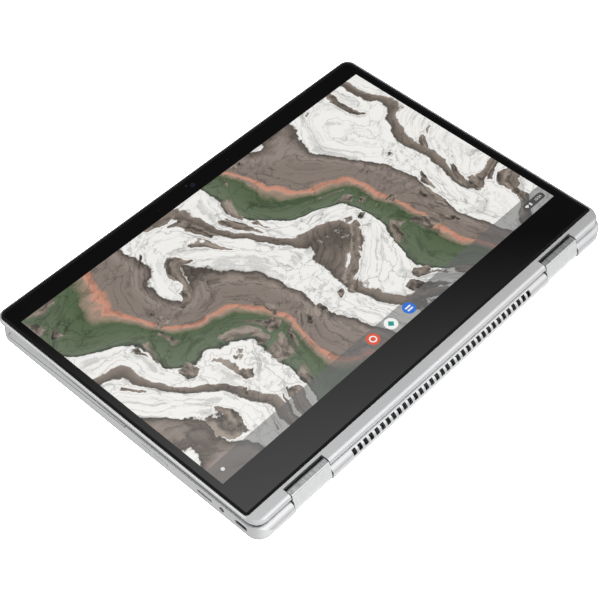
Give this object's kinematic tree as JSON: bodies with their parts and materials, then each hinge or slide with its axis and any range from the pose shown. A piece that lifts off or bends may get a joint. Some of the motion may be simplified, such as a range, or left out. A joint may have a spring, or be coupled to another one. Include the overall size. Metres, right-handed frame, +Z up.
{
  "type": "convertible laptop computer",
  "caption": "Slim convertible laptop folded right round for tablet use: glass-fronted lid on two double hinges over a silver keyboard base with rear vents.",
  "frame": {"origin": "centre of the folded computer's footprint, on the surface that it lies on, which is the plane of the keyboard deck", "axes": "+X along the hinge, to the user's right when the computer stands open as a laptop; +Y away from the hinge edge, towards the free edges of both halves; +Z up, out of the screen"},
  "size_m": [0.3254, 0.227, 0.0167],
  "materials": {
    "silver_case": "fine bead-blasted, natural silver anodised",
    "barrel_zinc": "satin silver paint over cast zinc",
    "button_metal": "satin silver",
    "grille_metal": "perforated, satin silver",
    "foot_rubber": "moulded, matt dark grey",
    "hinge_steel": "machined steel, oiled",
    "gear_brass": "cut brass",
    "screw_steel": "nickel-plated steel",
    "key_plastic": "fine textured, silver grey",
    "key_frame_plastic": "moulded, silver paint",
    "touchpad_surface": "satin laminated film over a stiff board",
    "sheet_steel": "pressed zinc-coated sheet",
    "circuit_board": "green solder mask with black chips",
    "standoff_brass": "turned brass",
    "copper": "drawn and flattened copper",
    "fin_aluminium": "thin stacked sheet",
    "fan_plastic": "moulded black",
    "battery_foil": "laminated foil pouch",
    "socket_shell": "drawn and plated steel",
    "jack_plastic": "moulded black",
    "screen_glass": "clear cover glass, black border printed behind it",
    "gasket_rubber": "moulded black ring, flush with the glass",
    "panel_stack": "laminated display panel",
    "foam": "closed-cell strip",
    "camera_black": "moulded black",
    "antenna_foil": "etched foil on film",
    "magnet_nickel": "nickel-plated"
  },
  "bodies": {
    "base": {"top_case": "silver_case", "bottom_cover": "silver_case", "rubber_feet": "foot_rubber", "bottom_screws": "screw_steel", "keyboard_frame": "key_frame_plastic", "keyboard_plate": "sheet_steel", "touchpad_bracket": "sheet_steel", "button_bracket": "sheet_steel", "motherboard": "circuit_board", "board_standoffs": "standoff_brass", "wifi_card": "circuit_board", "heat_spreader": "copper", "heat_pipe": "copper", "heat_sink": "fin_aluminium", "fan_housing": "fan_plastic", "battery_frame": "fan_plastic", "battery_cells": "battery_foil", "speaker_left": "fan_plastic", "speaker_right": "fan_plastic", "speaker_grilles": "grille_metal", "port_board_left": "circuit_board", "port_board_right": "circuit_board", "usb_c_port_left": "socket_shell", "headset_jack": "jack_plastic", "card_reader": "socket_shell", "usb_c_port_right": "socket_shell", "usb_a_port": "socket_shell", "base_hinge_left": "hinge_steel", "base_hinge_right": "hinge_steel"},
    "hinge_links": {"hinge_barrel_left": "barrel_zinc", "hinge_barrel_right": "barrel_zinc", "barrel_caps": "barrel_zinc"},
    "lower_idlers": {"lower_idler_gears": "gear_brass"},
    "upper_idlers": {"upper_idler_gears": "gear_brass"},
    "display_lid": {"lid_hinge_left": "hinge_steel", "lid_hinge_right": "hinge_steel", "lid_cover": "silver_case", "display_glass": "screen_glass", "display_gasket": "gasket_rubber", "lcd_panel": "panel_stack", "panel_foam": "foam", "camera_module": "camera_black", "display_board": "circuit_board", "antennas": "antenna_foil", "lid_magnets": "magnet_nickel"},
    "touchpad": {"touchpad": "touchpad_surface"},
    "fan": {"fan_impeller": "fan_plastic"},
    "power_button": {"power_button": "button_metal"},
    "volume_rocker": {"volume_rocker": "button_metal"},
    "function_keys": {"function_keys": "key_plastic"},
    "number_keys": {"number_keys": "key_plastic"},
    "upper_letter_keys": {"upper_letter_keys": "key_plastic"},
    "home_letter_keys": {"home_letter_keys": "key_plastic"},
    "lower_letter_keys": {"lower_letter_keys": "key_plastic"},
    "bottom_keys": {"bottom_keys": "key_plastic"},
    "arrow_keys": {"arrow_keys": "key_plastic"},
    "enter_key": {"enter_key": "key_plastic"},
    "space_bar": {"space_bar": "key_plastic"}
  },
  "joints": [
    {"name": "base_hinge", "type": "hinge", "parent": "base", "child": "hinge_links", "pos_m": [0, -0.10775, 0.00525], "axis": [1, 0, 0], "range_deg": [0, 180]},
    {"name": "lid_hinge", "type": "hinge", "parent": "hinge_links", "child": "display_lid", "pos_m": [0, -0.10775, 0.01385], "axis": [1, 0, 0], "range_deg": [0, 180]},
    {"name": "lower_idler_turn", "type": "hinge", "parent": "hinge_links", "child": "lower_idlers", "pos_m": [0, -0.10775, 0.00812], "axis": [1, 0, 0], "range_deg": [0, 180]},
    {"name": "upper_idler_turn", "type": "hinge", "parent": "hinge_links", "child": "upper_idlers", "pos_m": [0, -0.10775, 0.01098], "axis": [1, 0, 0], "range_deg": [-180, 0]},
    {"name": "touchpad_click", "type": "hinge", "parent": "base", "child": "touchpad", "pos_m": [0, 0.0443, 0.00155], "axis": [1, 0, 0], "range_deg": [0, 0.4], "stiffness_Nm_per_rad": 4},
    {"name": "fan_spin", "type": "hinge", "parent": "base", "child": "fan", "pos_m": [0.053, -0.0589, 0.005], "axis": [0, 0, 1], "continuous": true},
    {"name": "power_press", "type": "slide", "parent": "base", "child": "power_button", "axis": [1, 0, 0], "range_m": [0, 0.0004], "stiffness_N_per_m": 800},
    {"name": "volume_rock", "type": "hinge", "parent": "base", "child": "volume_rocker", "pos_m": [-0.1596, -0.0324, 0.0055], "axis": [0, 0, 1], "range_deg": [-2, 2], "stiffness_Nm_per_rad": 0.02},
    {"name": "function_press", "type": "slide", "parent": "base", "child": "function_keys", "axis": [0, 0, 1], "range_m": [0, 0.0013], "stiffness_N_per_m": 300},
    {"name": "number_press", "type": "slide", "parent": "base", "child": "number_keys", "axis": [0, 0, 1], "range_m": [0, 0.0013], "stiffness_N_per_m": 300},
    {"name": "upper_letter_press", "type": "slide", "parent": "base", "child": "upper_letter_keys", "axis": [0, 0, 1], "range_m": [0, 0.0013], "stiffness_N_per_m": 300},
    {"name": "home_letter_press", "type": "slide", "parent": "base", "child": "home_letter_keys", "axis": [0, 0, 1], "range_m": [0, 0.0013], "stiffness_N_per_m": 300},
    {"name": "lower_letter_press", "type": "slide", "parent": "base", "child": "lower_letter_keys", "axis": [0, 0, 1], "range_m": [0, 0.0013], "stiffness_N_per_m": 300},
    {"name": "bottom_press", "type": "slide", "parent": "base", "child": "bottom_keys", "axis": [0, 0, 1], "range_m": [0, 0.0013], "stiffness_N_per_m": 300},
    {"name": "arrow_press", "type": "slide", "parent": "base", "child": "arrow_keys", "axis": [0, 0, 1], "range_m": [0, 0.0013], "stiffness_N_per_m": 300},
    {"name": "enter_press", "type": "slide", "parent": "base", "child": "enter_key", "axis": [0, 0, 1], "range_m": [0, 0.0013], "stiffness_N_per_m": 300},
    {"name": "space_press", "type": "slide", "parent": "base", "child": "space_bar", "axis": [0, 0, 1], "range_m": [0, 0.0013], "stiffness_N_per_m": 300}
  ],
  "couplings": [
    {"joint": "lid_hinge", "follows": "base_hinge", "ratio": 1},
    {"joint": "lower_idler_turn", "follows": "base_hinge", "ratio": 1},
    {"joint": "upper_idler_turn", "follows": "base_hinge", "ratio": -1}
  ]
}
